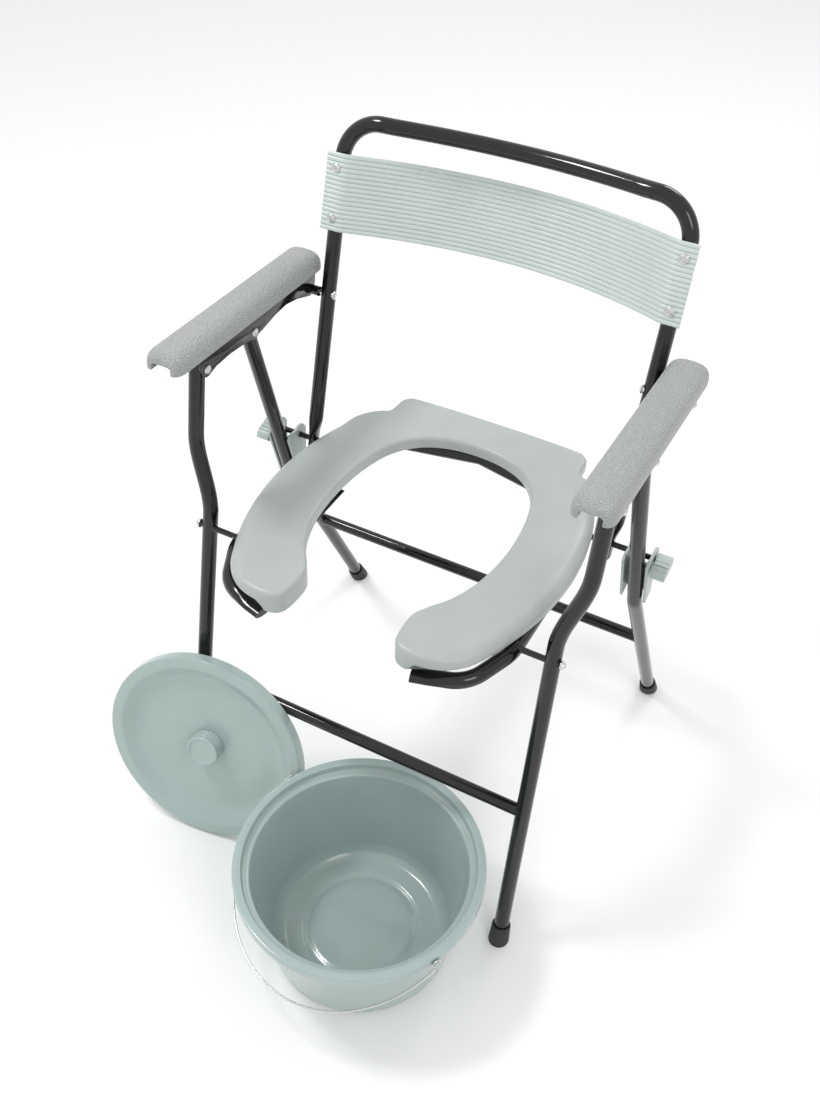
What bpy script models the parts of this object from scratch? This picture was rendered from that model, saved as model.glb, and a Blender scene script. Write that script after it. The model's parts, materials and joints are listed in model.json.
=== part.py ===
"""Folding commode chair: steel tube frame, open-front seat, arm pads, back panel, bucket and lid.

Units are metres and +Z is up. The chair faces -Y and its plane of symmetry is X = 0 before the
whole object is moved by ORIGIN_SHIFT, which puts the origin near the middle of its floor area.
"""

import math

import bmesh
import bpy
from mathutils import Matrix, Vector

# ---------------------------------------------------------------- driving dimensions
ORIGIN_SHIFT = (0.0217, -0.0690, 0.0)
GAP = 0.0003                      # air left between touching pieces

TUBE_R = 0.0095                   # main frame tubes, 19 mm
BAR_R = 0.0080                    # crossbars, 16 mm
ROD_R = 0.00375                   # pivot rods
PIN_R = 0.0030                    # pivot bolts
BORE_CLEAR = 0.00035

# pivots of the folding linkage, as (y, z): an exact parallelogram
ARM_FRONT = (0.0690, 0.6400)
ARM_REAR = (0.2890, 0.6290)
SEAT_FRONT = (0.0200, 0.4440)
SEAT_REAR = (0.2400, 0.4330)
LEG_TOP = (0.1645, 0.6355)        # rear leg pivot on the arm bracket
ARM_X = 0.2500                    # plane of the arm brackets

FRONT_LEG_Y0 = -0.0697            # front leg centre line: y = FRONT_LEG_Y0 + FRONT_LEG_RAKE * z
FRONT_LEG_RAKE = 0.2110
REAR_KINK = (0.2524, 0.2411, 0.3535)
REAR_FOOT = (0.2581, 0.4237, 0.0)
CROSSBAR_Z = 0.2190
LOCK_CLEAR = 0.0020               # room between a lock's web and the rear leg
ROD_START = 0.1600                # inner end of a lock rod, inside the seat frame's tube
SOCKET_DEPTH = 0.0020             # air left beyond that end
LEVER_X = (0.2700, 0.2880)        # the thumb levers' width
RAIL_LOW = -0.0395                # underside of the bucket rails, so that the rim passes below the frame
SHEET = 0.0015                    # thickness of the rails

FOOT_H = 0.028
FOOT_R_TOP = 0.0120
FOOT_R_BOTTOM = 0.0140

BACK_LEAN = math.atan(0.2843)
BACK_TOP = 0.2130                 # top bar, along the uprights from the arm pivot
BACK_BOTTOM = -0.2190
BACK_TUBE_Y = 0.0040              # uprights run this far behind the arm pivot
BAR_BOW = 0.0290
PANEL_LOW = 0.0806
PANEL_HIGH = 0.1731
PANEL_T = 0.0030
PANEL_SAG = 0.0650

SEAT_TILT = math.atan(0.020)
SEAT_TOP = 0.4680
SEAT_T = 0.0180
FRAME_Z = 0.4385
FRAME_X = 0.1815

BUCKET_AT = (0.0734, -0.1430)
BUCKET_R = 0.1536
BUCKET_H = 0.1600
EAR_AZ = math.radians(-26.0)
BAIL_R = 0.0012
BAIL_DROOP = math.radians(27.4)

LID_R = 0.1396
LID_CENTRE = (-0.1990, -0.0850, 0.1396)
LID_TILT = math.radians(74.8)
LID_FACING = math.radians(277.6)

# ---------------------------------------------------------------- scene set-up
for old in list(bpy.data.objects):
    bpy.data.objects.remove(old, do_unlink=True)

parts = bpy.data.collections.new("commode_chair")
cutters = bpy.data.collections.new("cutters")
bpy.context.scene.collection.children.link(parts)
bpy.context.scene.collection.children.link(cutters)


def material(name, colour, roughness, metallic=0.0):
    mat = bpy.data.materials.new(name)
    mat.use_nodes = True
    shader = mat.node_tree.nodes["Principled BSDF"]
    shader.inputs["Base Color"].default_value = (*colour, 1.0)
    shader.inputs["Roughness"].default_value = roughness
    shader.inputs["Metallic"].default_value = metallic
    return mat


BLACK = material("black_paint", (0.010, 0.010, 0.011), 0.18)
RUBBER = material("foot_rubber", (0.030, 0.030, 0.032), 0.65)
STEEL = material("bright_steel", (0.70, 0.70, 0.70), 0.25, 1.0)
SEAT_GREY = material("seat_plastic", (0.44, 0.48, 0.47), 0.40)
PAD_GREY = material("pad_plastic", (0.45, 0.48, 0.47), 0.60)
PANEL_GREY = material("panel_plastic", (0.62, 0.69, 0.66), 0.35)
LOCK_GREY = material("lock_plastic", (0.52, 0.57, 0.56), 0.40)
BUCKET_GREY = material("bucket_plastic", (0.34, 0.44, 0.42), 0.28)


# ---------------------------------------------------------------- helpers
def empty(name, location, tilt=0.0):
    """A pivot empty: location is the joint axis, tilt turns it about X."""
    node = bpy.data.objects.new(name, None)
    node.location = location
    node.rotation_euler = (tilt, 0.0, 0.0)
    parts.objects.link(node)
    return node


def place(name, mesh, mat, parent=None, collection=None):
    node = bpy.data.objects.new(name, mesh)
    mesh.materials.clear()
    if mat:
        mesh.materials.append(mat)
    (collection or parts).objects.link(node)
    if parent:
        node.parent = parent
    return node


def smooth(node, angle=35.0):
    node.data.shade_smooth()
    node.data.set_sharp_from_angle(angle=math.radians(angle))
    return node


def curve_mesh(curve):
    """Turn a curve into a closed mesh, with its caps welded."""
    holder = bpy.data.objects.new("holder", curve)
    parts.objects.link(holder)
    bpy.context.view_layer.update()
    evaluated = holder.evaluated_get(bpy.context.evaluated_depsgraph_get())
    mesh = bpy.data.meshes.new_from_object(evaluated)
    bpy.data.objects.remove(holder, do_unlink=True)
    bm = bmesh.new()
    bm.from_mesh(mesh)
    bmesh.ops.remove_doubles(bm, verts=bm.verts, dist=0.00002)
    bmesh.ops.recalc_face_normals(bm, faces=bm.faces)
    bm.to_mesh(mesh)
    bm.free()
    return mesh


def tube_mesh(points, radius, resolution=2):
    curve = bpy.data.curves.new("path", "CURVE")
    curve.dimensions = "3D"
    spline = curve.splines.new("POLY")
    spline.points.add(len(points) - 1)
    for slot, point in zip(spline.points, points):
        slot.co = (*point, 1.0)
    curve.bevel_depth = radius
    curve.bevel_resolution = resolution
    curve.use_fill_caps = True
    return curve_mesh(curve)


def plate_mesh(outline, thickness):
    """A flat plate from a 2D outline, in its local XY, centred on z = 0."""
    curve = bpy.data.curves.new("outline", "CURVE")
    curve.dimensions = "2D"
    curve.fill_mode = "BOTH"
    curve.extrude = thickness / 2
    spline = curve.splines.new("POLY")
    spline.points.add(len(outline) - 1)
    for slot, point in zip(spline.points, outline):
        slot.co = (point[0], point[1], 0.0, 1.0)
    spline.use_cyclic_u = True
    return curve_mesh(curve)


SIDE_VIEW = Matrix(((0, 0, 1, 0), (1, 0, 0, 0), (0, 1, 0, 0), (0, 0, 0, 1)))
FRONT_VIEW = Matrix(((1, 0, 0, 0), (0, 0, -1, 0), (0, 1, 0, 0), (0, 0, 0, 1)))


def side_plate(outline, x_low, x_high):
    """A plate whose outline is given as (y, z), filling x_low to x_high."""
    mesh = plate_mesh(outline, x_high - x_low)
    mesh.transform(Matrix.Translation(((x_low + x_high) / 2, 0, 0)) @ SIDE_VIEW)
    return mesh


def box_mesh(low, high):
    bm = bmesh.new()
    bmesh.ops.create_cube(bm, size=1.0)
    size = [h - l for l, h in zip(low, high)]
    middle = [(h + l) / 2 for l, h in zip(low, high)]
    bm.transform(Matrix.Translation(middle) @ Matrix.Diagonal((*size, 1.0)))
    mesh = bpy.data.meshes.new("box")
    bm.to_mesh(mesh)
    bm.free()
    return mesh


def turned_mesh(profile, steps):
    """Turn a closed (r, z) profile round Z with a Screw modifier."""
    bm = bmesh.new()
    verts = [bm.verts.new((r, 0.0, z)) for r, z in profile]
    for a, b in zip(verts, verts[1:]):
        bm.edges.new((a, b))
    if profile[0][0] > 0:
        bm.edges.new((verts[-1], verts[0]))
    mesh = bpy.data.meshes.new("profile")
    bm.to_mesh(mesh)
    bm.free()
    holder = bpy.data.objects.new("holder", mesh)
    parts.objects.link(holder)
    screw = holder.modifiers.new("turn", "SCREW")
    screw.axis = "Z"
    screw.steps = steps
    screw.render_steps = steps
    screw.use_merge_vertices = True
    screw.merge_threshold = 0.00005
    bpy.context.view_layer.update()
    evaluated = holder.evaluated_get(bpy.context.evaluated_depsgraph_get())
    turned = bpy.data.meshes.new_from_object(evaluated)
    bpy.data.objects.remove(holder, do_unlink=True)
    bm = bmesh.new()
    bm.from_mesh(turned)
    bmesh.ops.remove_doubles(bm, verts=bm.verts, dist=0.00002)
    bmesh.ops.recalc_face_normals(bm, faces=bm.faces)
    bm.to_mesh(turned)
    bm.free()
    return turned


def x_pin_mesh(x_low, x_high, radius, y=0.0, z=0.0, sides=16):
    """A straight round pin along X."""
    bm = bmesh.new()
    bmesh.ops.create_cone(bm, cap_ends=True, segments=sides, radius1=radius, radius2=radius,
                          depth=abs(x_high - x_low))
    turn = Matrix.Rotation(math.pi / 2, 4, "Y")
    bm.transform(Matrix.Translation(((x_low + x_high) / 2, y, z)) @ turn)
    mesh = bpy.data.meshes.new("pin")
    bm.to_mesh(mesh)
    bm.free()
    return mesh


def combine(node, cutter_mesh, operation="DIFFERENCE"):
    """Cut or join with another mesh, given in the node's own coordinates."""
    tool = place(node.name + "_tool", cutter_mesh, None, node.parent, cutters)
    tool.hide_render = True
    tool.display_type = "WIRE"
    step = node.modifiers.new("shape", "BOOLEAN")
    step.operation = operation
    step.solver = "EXACT"
    step.object = tool
    return node


def fillet(corners, radii, segments=4):
    """A polyline through the corners, with each inner corner rounded."""
    corners = [Vector(c) for c in corners]
    path = [corners[0]]
    for i in range(1, len(corners) - 1):
        before = (corners[i - 1] - corners[i]).normalized()
        after = (corners[i + 1] - corners[i]).normalized()
        half = before.angle(after) / 2
        reach = radii[i - 1] / math.tan(half)
        start = corners[i] + before * reach
        end = corners[i] + after * reach
        centre = corners[i] + (before + after).normalized() * (radii[i - 1] / math.sin(half))
        a = start - centre
        b = end - centre
        turn = a.angle(b)
        for k in range(segments + 1):
            t = k / segments
            path.append(centre + (a * math.sin((1 - t) * turn) + b * math.sin(t * turn))
                        / math.sin(turn))
    path.append(corners[-1])
    return path


def arc(cy, cz, radius, start, end, count):
    """Points on a circle from start to end, in degrees, both ends included."""
    angles = [math.radians(start + (end - start) * k / (count - 1)) for k in range(count)]
    return [(cy + radius * math.cos(a), cz + radius * math.sin(a)) for a in angles]


def mirrored(mesh):
    """A copy of a mesh reflected in X = 0."""
    copy = mesh.copy()
    copy.transform(Matrix.Diagonal((-1.0, 1.0, 1.0, 1.0)))
    copy.flip_normals()
    return copy


def loft_mesh(rings):
    """Skin a chain of rings of equal count and cap both ends: for tubes with flattened ends."""
    bm = bmesh.new()
    rows = [[bm.verts.new(p) for p in ring] for ring in rings]
    count = len(rows[0])
    for lower, upper in zip(rows, rows[1:]):
        for i in range(count):
            j = (i + 1) % count
            bm.faces.new((lower[i], lower[j], upper[j], upper[i]))
    bm.faces.new(rows[0])
    bm.faces.new(list(reversed(rows[-1])))
    bmesh.ops.recalc_face_normals(bm, faces=bm.faces)
    mesh = bpy.data.meshes.new("loft")
    bm.to_mesh(mesh)
    bm.free()
    return mesh


# ---------------------------------------------------------------- front frame
def front_leg_y(z):
    return FRONT_LEG_Y0 + FRONT_LEG_RAKE * z


def front_leg_x(z):
    """The leg steps inward below the arm, in one smooth S."""
    if z >= 0.560:
        return ARM_X
    if z <= 0.460:
        return 0.2267 + (0.2349 - 0.2267) * (0.460 - z) / 0.460
    t = (z - 0.460) / 0.100
    return 0.2267 + (ARM_X - 0.2267) * (3 * t * t - 2 * t ** 3)


front_heights = [0.006, 0.150, 0.300, 0.440, 0.460, 0.477, 0.494, 0.510, 0.526, 0.543, 0.560, 0.6515]
front_path = [Vector((front_leg_x(z), front_leg_y(z), z)) for z in front_heights]
rear_kink = Vector(REAR_KINK)
rear_foot = Vector(REAR_FOOT)
rear_top = Vector((ARM_X, LEG_TOP[0], LEG_TOP[1]))
up_leg = (rear_top - rear_kink).normalized()
down_leg = (rear_foot - rear_kink).normalized()
rear_end = rear_foot - down_leg * 0.0075
rear_path = fillet([rear_end, rear_kink, rear_top + up_leg * 0.011], [0.070], 5)


def both_sides(name, mesh, mat, parent=None):
    """The same piece on the left (-X) and on the right (+X)."""
    right = place(name + "_right", mesh, mat, parent)
    left = place(name + "_left", mirrored(mesh), mat, parent)
    return left, right


def cut_both(pair, cutter, operation="DIFFERENCE"):
    combine(pair[1], cutter, operation)
    combine(pair[0], mirrored(cutter), operation)


front_legs = both_sides("front_leg", tube_mesh(front_path, TUBE_R), BLACK)
cut_both(front_legs, x_pin_mesh(0.23, 0.27, PIN_R + BORE_CLEAR, *ARM_FRONT))
cut_both(front_legs, x_pin_mesh(0.20, 0.25, ROD_R + BORE_CLEAR, *SEAT_FRONT))

rear_hinge = empty("rear_leg_hinge", (0.0, *LEG_TOP))
rear_local = [p - Vector((0.0, *LEG_TOP)) for p in rear_path]
rear_legs = both_sides("rear_leg", tube_mesh(rear_local, TUBE_R), BLACK, rear_hinge)
cut_both(rear_legs, x_pin_mesh(0.23, 0.27, PIN_R + BORE_CLEAR))


def foot(base, direction, offset):
    """A rubber tip along the leg, cut flat at the floor, with a blind socket for the tube."""
    bm = bmesh.new()
    bmesh.ops.create_cone(bm, cap_ends=True, segments=20, radius1=FOOT_R_BOTTOM,
                          radius2=FOOT_R_TOP, depth=FOOT_H + 0.014)
    turn = Vector((0, 0, 1)).rotation_difference(direction).to_matrix().to_4x4()
    middle = base + direction * (FOOT_H - 0.014) / 2
    bm.transform(Matrix.Translation(middle - offset) @ turn)
    mesh = bpy.data.meshes.new("foot")
    bm.to_mesh(mesh)
    bm.free()
    return mesh


nothing = Vector((0.0, 0.0, 0.0))
hinge_at = Vector((0.0, *LEG_TOP))
for label, low_end, path, offset, parent in (
        ("front_foot", Vector((0.2349, FRONT_LEG_Y0, 0.0)), front_path, nothing, None),
        ("rear_foot", rear_foot, rear_path, hinge_at, rear_hinge)):
    heading = (path[1] - path[0]).normalized()
    tips = both_sides(label, foot(low_end, heading, offset), RUBBER, parent)
    floor_cut = box_mesh((0.15, -0.3 - offset.y, -0.05 - offset.z), (0.35, 0.6, -offset.z))
    cut_both(tips, floor_cut)
    socket = [path[0] - heading * GAP - offset, path[0] + heading * 0.060 - offset]
    cut_both(tips, tube_mesh(socket, TUBE_R + 0.0004))

front_bar_y = front_leg_y(CROSSBAR_Z)
front_bar = tube_mesh([(-0.226, front_bar_y, CROSSBAR_Z), (0.226, front_bar_y, CROSSBAR_Z)], BAR_R)
front_bar = place("front_crossbar", front_bar, BLACK)
cope = tube_mesh(front_path[:3], TUBE_R + GAP)
combine(front_bar, cope)
combine(front_bar, mirrored(cope))

on_leg = rear_kink + down_leg * ((rear_kink.z - CROSSBAR_Z) / -down_leg.z)
bar_y = on_leg.y - LEG_TOP[0]
bar_z = CROSSBAR_Z - LEG_TOP[1]
rear_bar = tube_mesh([(-0.250, bar_y, bar_z), (0.250, bar_y, bar_z)], BAR_R)
rear_bar = place("rear_crossbar", rear_bar, BLACK, rear_hinge)
cope = tube_mesh([rear_end - hinge_at, on_leg - hinge_at, rear_kink - hinge_at], TUBE_R + GAP)
combine(rear_bar, cope)
combine(rear_bar, mirrored(cope))

# ---------------------------------------------------------------- arms
ARM_SLOPE = math.atan2(ARM_FRONT[1] - ARM_REAR[1], ARM_REAR[0] - ARM_FRONT[0])
ARM_LENGTH = math.hypot(ARM_REAR[0] - ARM_FRONT[0], ARM_REAR[1] - ARM_FRONT[1])
MIDDLE_HOLE = 0.0956
arm_hinge = empty("arm_hinge", (0.0, *ARM_FRONT), -ARM_SLOPE)

BRACKET_TOP = 0.0370
BRACKET_IN = 0.0102               # half width inside the channel
BRACKET_OUT = 0.0118
lower_edge = [(-0.0135, 0.0060)]
lower_edge += arc(0.0, 0.0, 0.0100, 205, 300, 5)
lower_edge += [(0.018, -0.0050), (0.045, -0.0035), (0.072, -0.0050)]
lower_edge += arc(MIDDLE_HOLE, 0.0, 0.0100, 235, 315, 5)
lower_edge += [(0.116, -0.0045), (0.140, 0.0010), (0.165, 0.0035), (0.190, -0.0005), (0.205, -0.0055)]
lower_edge += arc(ARM_LENGTH, 0.0, 0.0100, 240, 360, 6)
lower_edge += [(0.2325, 0.0060), (0.2325, BRACKET_TOP), (-0.0135, BRACKET_TOP)]
brackets = both_sides("arm_bracket", side_plate(lower_edge, ARM_X - BRACKET_OUT, ARM_X + BRACKET_OUT),
                      BLACK, arm_hinge)
cut_both(brackets, box_mesh((ARM_X - BRACKET_IN, -0.05, -0.03),
                            (ARM_X + BRACKET_IN, 0.26, BRACKET_TOP - 0.0016)))
for hole in (0.0, MIDDLE_HOLE, ARM_LENGTH):
    cut_both(brackets, x_pin_mesh(0.23, 0.27, PIN_R + BORE_CLEAR, hole, 0.0))

PAD_LOW = 0.0265
PAD_HIGH = 0.0505
PAD_HALF = 0.0240
PAD_FRONT = -0.0660
PAD_REAR = 0.2350
section = [(ARM_X - PAD_HALF, PAD_LOW), (ARM_X - 0.0133, PAD_LOW), (ARM_X - 0.0133, 0.0375),
           (ARM_X - 0.0100, 0.0420), (ARM_X + 0.0100, 0.0420), (ARM_X + 0.0133, 0.0375),
           (ARM_X + 0.0133, PAD_LOW), (ARM_X + PAD_HALF, PAD_LOW)]
section += arc(ARM_X + PAD_HALF - 0.012, PAD_HIGH - 0.012, 0.012, 0, 90, 5)
section += arc(ARM_X - PAD_HALF + 0.012, PAD_HIGH - 0.012, 0.012, 90, 180, 5)
pad = plate_mesh(section, PAD_REAR - PAD_FRONT)
pad.transform(Matrix.Translation((0, (PAD_FRONT + PAD_REAR) / 2, 0)) @ FRONT_VIEW)
pads = both_sides("arm_pad", pad, PAD_GREY, arm_hinge)
plan = []
for cx, cy, start in ((PAD_HALF - 0.018, PAD_REAR - 0.018, 0), (-PAD_HALF + 0.018, PAD_REAR - 0.018, 90),
                      (-PAD_HALF + 0.015, PAD_FRONT + 0.015, 180),
                      (PAD_HALF - 0.015, PAD_FRONT + 0.015, 270)):
    corner_r = 0.0181 if start < 180 else 0.0151
    plan += arc(ARM_X + cx, cy, corner_r, start, start + 90, 5)
plan_mesh = plate_mesh(plan, 0.08)
plan_mesh.transform(Matrix.Translation((0, 0, 0.04)))
cut_both(pads, plan_mesh, "INTERSECT")
crown = [(-0.10, 0.0), (0.26, 0.0)]
crown += arc(PAD_REAR + 0.0002 - 0.014, PAD_HIGH + 0.0002 - 0.014, 0.014, 0, 90, 5)
crown += arc(PAD_FRONT - 0.0002 + 0.018, PAD_HIGH + 0.0002 - 0.018, 0.018, 90, 180, 5)
crown[0] = (PAD_FRONT - 0.0002, 0.0)
crown[1] = (PAD_REAR + 0.0002, 0.0)
cut_both(pads, side_plate(crown, 0.20, 0.30), "INTERSECT")


def bolt_profile(head_r, head_h, shank_r, length):
    """A domed head on a plain shank, pointing down -Z from the head's underside."""
    return [(0.0, head_h), (head_r * 0.55, head_h * 0.86), (head_r * 0.90, head_h * 0.45),
            (head_r, 0.0), (shank_r, 0.0), (shank_r, -length), (0.0, -length)]


def nut_mesh(x_face, y, z):
    """A domed cap nut standing on a face at x_face, outward along +X."""
    profile = [(0.0, 0.0062), (0.0022, 0.0058), (0.0040, 0.0042), (0.0044, 0.0026),
               (0.0056, 0.0024), (0.0058, 0.0), (0.0, 0.0)]
    mesh = turned_mesh(profile, 12)
    mesh.transform(Matrix.Translation((x_face + GAP, y, z)) @ Matrix.Rotation(math.pi / 2, 4, "Y"))
    return mesh


def bolt_mesh(x_head, x_tip, y, z):
    """A bolt whose head is on the inner side at x_head and whose shank runs outward."""
    mesh = turned_mesh(bolt_profile(0.0056, 0.0032, PIN_R, x_tip - x_head), 12)
    mesh.transform(Matrix.Translation((x_head, y, z)) @ Matrix.Rotation(-math.pi / 2, 4, "Y"))
    return mesh


inner_face = ARM_X - BRACKET_OUT - GAP
outer_face = ARM_X + BRACKET_OUT
for label, hole in (("front", 0.0), ("middle", MIDDLE_HOLE)):
    both_sides("arm_bolt_" + label, bolt_mesh(inner_face, outer_face, hole, 0.0), STEEL, arm_hinge)
for label, hole in (("front", 0.0), ("middle", MIDDLE_HOLE), ("rear", ARM_LENGTH)):
    owner = "arm_nut_" + label
    both_sides(owner, nut_mesh(outer_face, hole, 0.0), STEEL, arm_hinge)

# ---------------------------------------------------------------- back frame
back_hinge = empty("back_hinge", (0.0, *ARM_REAR), -BACK_LEAN)
to_back = Matrix.Translation((0.0, *ARM_REAR)) @ Matrix.Rotation(-BACK_LEAN, 4, "X")


def upright_x(s):
    return 0.2112 + (0.2150 - 0.2112) * (s + 0.202) / 0.362


half = fillet([(upright_x(BACK_BOTTOM), BACK_TUBE_Y, BACK_BOTTOM), (upright_x(0.16), BACK_TUBE_Y, BACK_TOP),
               (0.0, BACK_TUBE_Y, BACK_TOP)], [0.048], 6)
lower_run = [-0.219, -0.205, -0.188, -0.172, 0.0]
side_points = [Vector((upright_x(s), BACK_TUBE_Y, s)) for s in lower_run] + half[1:-1]
bar_points = [Vector((x, BACK_TUBE_Y, BACK_TOP)) for x in (0.120, 0.080, 0.040, 0.0)]
right_half = side_points + bar_points
for point in right_half:
    if point.x < 0.1600:
        point.y += BAR_BOW * (1 - (point.x / 0.1600) ** 2)
whole = right_half + [Vector((-p.x, p.y, p.z)) for p in reversed(right_half[:-1])]
flat_by_run = [1.0, 1.0, 0.8, 0.15, 0.0]
flats = flat_by_run + [0.0] * (len(whole) - 2 * len(flat_by_run)) + flat_by_run[::-1]


def back_rings(path, press, sides=12):
    """Rings for the inverted U: the flattened ends are thin along X and wide along Y."""
    rings = []
    for i, centre in enumerate(path):
        along = (path[min(i + 1, len(path) - 1)] - path[max(i - 1, 0)]).normalized()
        wide = Vector((0, 1, 0))
        wide = (wide - along * wide.dot(along)).normalized()
        thin = along.cross(wide)
        a = TUBE_R * (1 + 0.35 * press[i])
        b = TUBE_R * (1 - 0.60 * press[i])
        rings.append([centre + wide * a * math.cos(2 * math.pi * k / sides)
                      + thin * b * math.sin(2 * math.pi * k / sides) for k in range(sides)])
    return rings


back_tube = place("back_tube", loft_mesh(back_rings(whole, flats)), BLACK, back_hinge)
seat_rear_local = to_back.inverted() @ Vector((0.0, *SEAT_REAR))
rod_at = (seat_rear_local.y, seat_rear_local.z)
for side in (1, -1):
    combine(back_tube, x_pin_mesh(side * 0.20, side * 0.24, PIN_R + BORE_CLEAR, 0.0, 0.0))
    combine(back_tube, x_pin_mesh(side * 0.20, side * 0.23, ROD_R + BORE_CLEAR, *rod_at))

bolt_head_x = upright_x(0.0) - TUBE_R - GAP
both_sides("back_bolt", bolt_mesh(bolt_head_x, outer_face, 0.0, 0.0), STEEL, back_hinge)
spacer = turned_mesh([(0.0062, 0.0138), (0.0062, 0.0), (PIN_R + 0.0004, 0.0), (PIN_R + 0.0004, 0.0138)], 16)
spacer.transform(Matrix.Translation((ARM_X - BRACKET_OUT - GAP - 0.0138, 0, 0))
                 @ Matrix.Rotation(math.pi / 2, 4, "Y"))
spacers = both_sides("back_spacer", spacer, BLACK, back_hinge)
cut_both(spacers, tube_mesh([(upright_x(-0.03), BACK_TUBE_Y, -0.03), (upright_x(0.03), BACK_TUBE_Y, 0.03)],
                            TUBE_R + GAP))
rod = x_pin_mesh(ROD_START, 0.2685, ROD_R, *rod_at)
both_sides("lock_rod", rod, BLACK, back_hinge)


def panel_y(x):
    front = BACK_TUBE_Y - TUBE_R - GAP - PANEL_T
    if abs(x) >= 0.2050:
        return front
    return front + PANEL_SAG * (1 - (x / 0.2050) ** 2)


bm = bmesh.new()
columns = 28
bmesh.ops.create_grid(bm, x_segments=columns, y_segments=1, size=1.0)
for vert in bm.verts:
    x = vert.co.x * 0.2285
    s = PANEL_LOW if vert.co.y < 0 else PANEL_HIGH
    vert.co = Vector((x, panel_y(x), s))
for face in bm.faces:
    face.normal_update()
    if face.normal.y > 0:
        face.normal_flip()
panel_mesh = bpy.data.meshes.new("panel")
bm.to_mesh(panel_mesh)
bm.free()
panel = place("back_panel", panel_mesh, PANEL_GREY, back_hinge)
thicken = panel.modifiers.new("thickness", "SOLIDIFY")
thicken.thickness = PANEL_T * 0.97
thicken.offset = -1.0

screw_y = BACK_TUBE_Y - TUBE_R - 2 * GAP - PANEL_T
for label, s in (("upper", 0.1557), ("lower", 0.0964)):
    head = turned_mesh([(0.0, 0.0026), (0.0022, 0.0024), (0.0038, 0.0010), (0.0058, 0.0008),
                        (0.0058, 0.0), (0.0, 0.0)], 12)
    head.transform(Matrix.Translation((upright_x(s), screw_y, s)) @ Matrix.Rotation(math.pi / 2, 4, "X"))
    both_sides("panel_screw_" + label, head, STEEL, back_hinge)

# ---------------------------------------------------------------- seat and its frame
seat_hinge = empty("seat_hinge", (0.0, *SEAT_FRONT), -SEAT_TILT)
FRAME_DROP = FRAME_Z - SEAT_FRONT[1]
corner_path = fillet([(0.0960, -0.0790, FRAME_DROP - 0.0085), (0.1560, -0.0640, FRAME_DROP - 0.0060),
                      (FRAME_X, -0.0060, FRAME_DROP), (FRAME_X, 0.1600, FRAME_DROP),
                      (0.1500, 0.2620, FRAME_DROP), (0.0, 0.2930, FRAME_DROP)],
                     [0.045, 0.050, 0.160, 0.090], 4)
corner_path.insert(1, Vector((0.1140, -0.0745, FRAME_DROP - 0.0078)))
corner_path.insert(2, Vector((0.1300, -0.0705, FRAME_DROP - 0.0070)))
whole = corner_path + [Vector((-p.x, p.y, p.z)) for p in reversed(corner_path[:-1])]
pressed = [1.0, 1.0, 0.5]
flats = pressed + [0.0] * (len(whole) - 6) + pressed[::-1]
rings = []
for i, centre in enumerate(whole):
    along = (whole[min(i + 1, len(whole) - 1)] - whole[max(i - 1, 0)]).normalized()
    thin = (Vector((0, 0, 1)) - along * along.z).normalized()
    wide = along.cross(thin)
    a = TUBE_R * (1 + 0.30 * flats[i])
    b = TUBE_R * (1 - 0.42 * flats[i])
    rings.append([centre + wide * a * math.cos(2 * math.pi * k / 12)
                  + thin * b * math.sin(2 * math.pi * k / 12) for k in range(12)])
seat_frame = place("seat_frame", loft_mesh(rings), BLACK, seat_hinge)
rear_in_seat = Matrix.Rotation(SEAT_TILT, 4, "X") @ (Vector((0.0, *SEAT_REAR)) - Vector((0.0, *SEAT_FRONT)))
for side in (1, -1):
    combine(seat_frame, x_pin_mesh(side * (ROD_START - SOCKET_DEPTH), side * 0.2100, ROD_R + 0.0005,
                                   rear_in_seat.y, rear_in_seat.z))
front_rod = x_pin_mesh(0.1750, 0.2372, ROD_R, 0.0, 0.0)
front_rods = both_sides("seat_rod", front_rod, BLACK, seat_hinge)
rod_cope = tube_mesh([(FRAME_X, -0.02, FRAME_DROP), (FRAME_X, 0.02, FRAME_DROP)], TUBE_R + 0.0010)
cut_both(front_rods, box_mesh((0.1700, -0.01, -0.01), (FRAME_X, 0.01, 0.01)))
cut_both(front_rods, rod_cope)
both_sides("seat_nut", nut_mesh(0.2372, 0.0, 0.0), STEEL, seat_hinge)

outer = [(0.000, 0.3380), (0.060, 0.3375), (0.116, 0.3350), (0.128, 0.3310), (0.1345, 0.3220),
         (0.1360, 0.3060), (0.1385, 0.2935), (0.1480, 0.2875), (0.160, 0.2765), (0.173, 0.2560),
         (0.187, 0.2180), (0.1965, 0.1750), (0.2005, 0.1350), (0.2000, 0.0950), (0.1940, 0.0500),
         (0.1840, 0.0100), (0.1700, -0.0270), (0.1550, -0.0560), (0.1350, -0.0740), (0.1120, -0.0825),
         (0.0880, -0.0830), (0.0740, -0.0760), (0.0690, -0.0600)]
inner = [(0.0690, -0.0300), (0.0780, -0.0120), (0.0960, 0.0150), (0.1100, 0.0520), (0.1170, 0.0950),
         (0.1175, 0.1400), (0.1120, 0.1850), (0.0990, 0.2260), (0.0740, 0.2570), (0.0400, 0.2730),
         (0.000, 0.2780)]
half_outline = outer + inner
outline = half_outline[:-1] + [(0.0, inner[-1][1])] + [(-x, y) for x, y in reversed(half_outline[1:-1])]
SLAB_TOP = SEAT_TOP - SEAT_FRONT[1] - 0.0005
slab = plate_mesh(outline, SEAT_T)
slab.transform(Matrix.Translation((0, 0, SLAB_TOP - SEAT_T / 2)))
seat = place("seat", slab, SEAT_GREY, seat_hinge)
tip = [(0.0722, -0.0600), (0.0780, -0.0740), (0.0900, -0.0790), (0.1000, -0.0780), (0.1000, -0.0220),
       (0.0880, -0.0040), (0.0800, -0.0140), (0.0722, -0.0310)]
tip_mesh = plate_mesh(tip, 0.0243)
tip_mesh.transform(Matrix.Translation((0, 0, 0.0043)))
combine(seat, tip_mesh, "UNION")
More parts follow.
